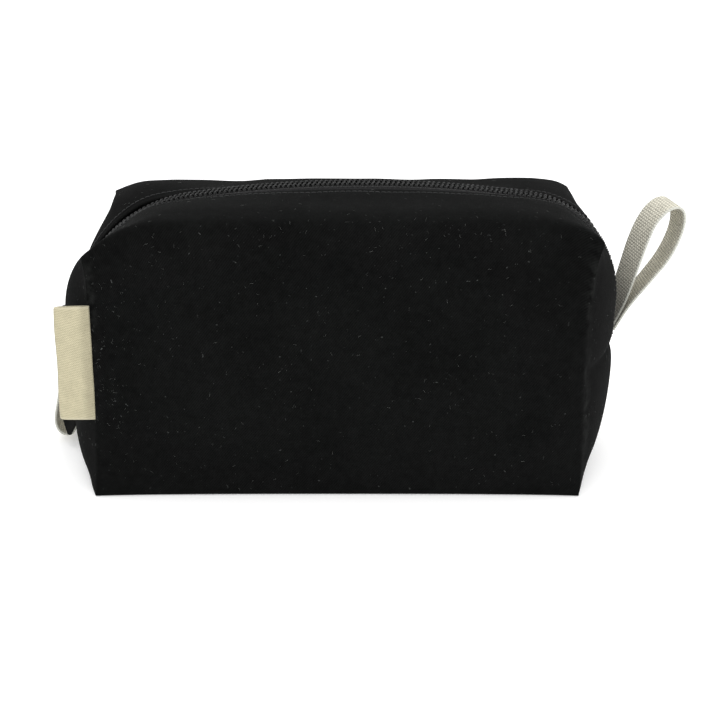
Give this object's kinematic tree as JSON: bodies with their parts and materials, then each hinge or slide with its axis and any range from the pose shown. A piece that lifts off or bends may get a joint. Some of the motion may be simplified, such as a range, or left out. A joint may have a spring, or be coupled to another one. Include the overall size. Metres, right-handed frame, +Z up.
{
  "type": "shaving kit bag",
  "caption": "Boxed cloth zip pouch for shaving things, with a coil zipper over its top, pinched corners, webbing end loops and a folded side label.",
  "frame": {"origin": "centre of the flat base, on the surface the bag stands on", "axes": "+X to the right end of the bag, +Y to the back, +Z up"},
  "size_m": [0.3344, 0.125, 0.147],
  "materials": {
    "black_twill": "matte cotton twill with a fine diagonal rib",
    "lining_cloth": "plain matte lining",
    "zipper_tape": "tight woven tape",
    "zipper_coil": "satin moulded filament",
    "sewing_thread": "twisted thread",
    "slider_enamel": "baked black enamel",
    "pull_leather": "smooth black leather tab",
    "natural_webbing": "coarse undyed webbing",
    "label_cloth": "fine cream twill tape"
  },
  "bodies": {
    "bag": {"base_panel": "black_twill", "front_panel": "black_twill", "back_panel": "black_twill", "top_panel_front": "black_twill", "top_panel_back": "black_twill", "left_end_lower": "black_twill", "left_end_upper_front": "black_twill", "left_end_upper_back": "black_twill", "right_end_lower": "black_twill", "right_end_upper_front": "black_twill", "right_end_upper_back": "black_twill", "lining_front": "lining_cloth", "lining_back": "lining_cloth", "zipper_tape_front": "zipper_tape", "zipper_tape_back": "zipper_tape", "zipper_coil_front": "zipper_coil", "zipper_coil_back": "zipper_coil", "topstitch_front": "sewing_thread", "topstitch_back": "sewing_thread"},
    "slider": {"slider_body": "slider_enamel", "slider_bridge": "slider_enamel"},
    "pull": {"pull_tab": "pull_leather"},
    "loop_right": {"webbing_loop_right": "natural_webbing"},
    "loop_left": {"webbing_loop_left": "natural_webbing"},
    "label_flap": {"label": "label_cloth"}
  },
  "joints": [
    {"name": "slider_travel", "type": "hinge", "parent": "bag", "child": "slider", "pos_m": [-0.0665, 0, 0.0656], "axis": [0, 1, 0], "range_deg": [0, 69]},
    {"name": "pull_swing", "type": "hinge", "parent": "slider", "child": "pull", "pos_m": [-0.14583, 0, 0.06996], "axis": [0, 1, 0], "range_deg": [0, 140]},
    {"name": "right_loop_flex", "type": "hinge", "parent": "bag", "child": "loop_right", "pos_m": [0.1436, 0.017, 0.0635], "axis": [0, 1, 0], "range_deg": [-12, 110]},
    {"name": "left_loop_flex", "type": "hinge", "parent": "bag", "child": "loop_left", "pos_m": [-0.1436, 0.017, 0.0645], "axis": [0, 1, 0], "range_deg": [0, 110]},
    {"name": "label_flap_swing", "type": "hinge", "parent": "bag", "child": "label_flap", "pos_m": [-0.1205, -0.061, 0.07], "axis": [0, 0, 1], "range_deg": [-35, 140]}
  ]
}
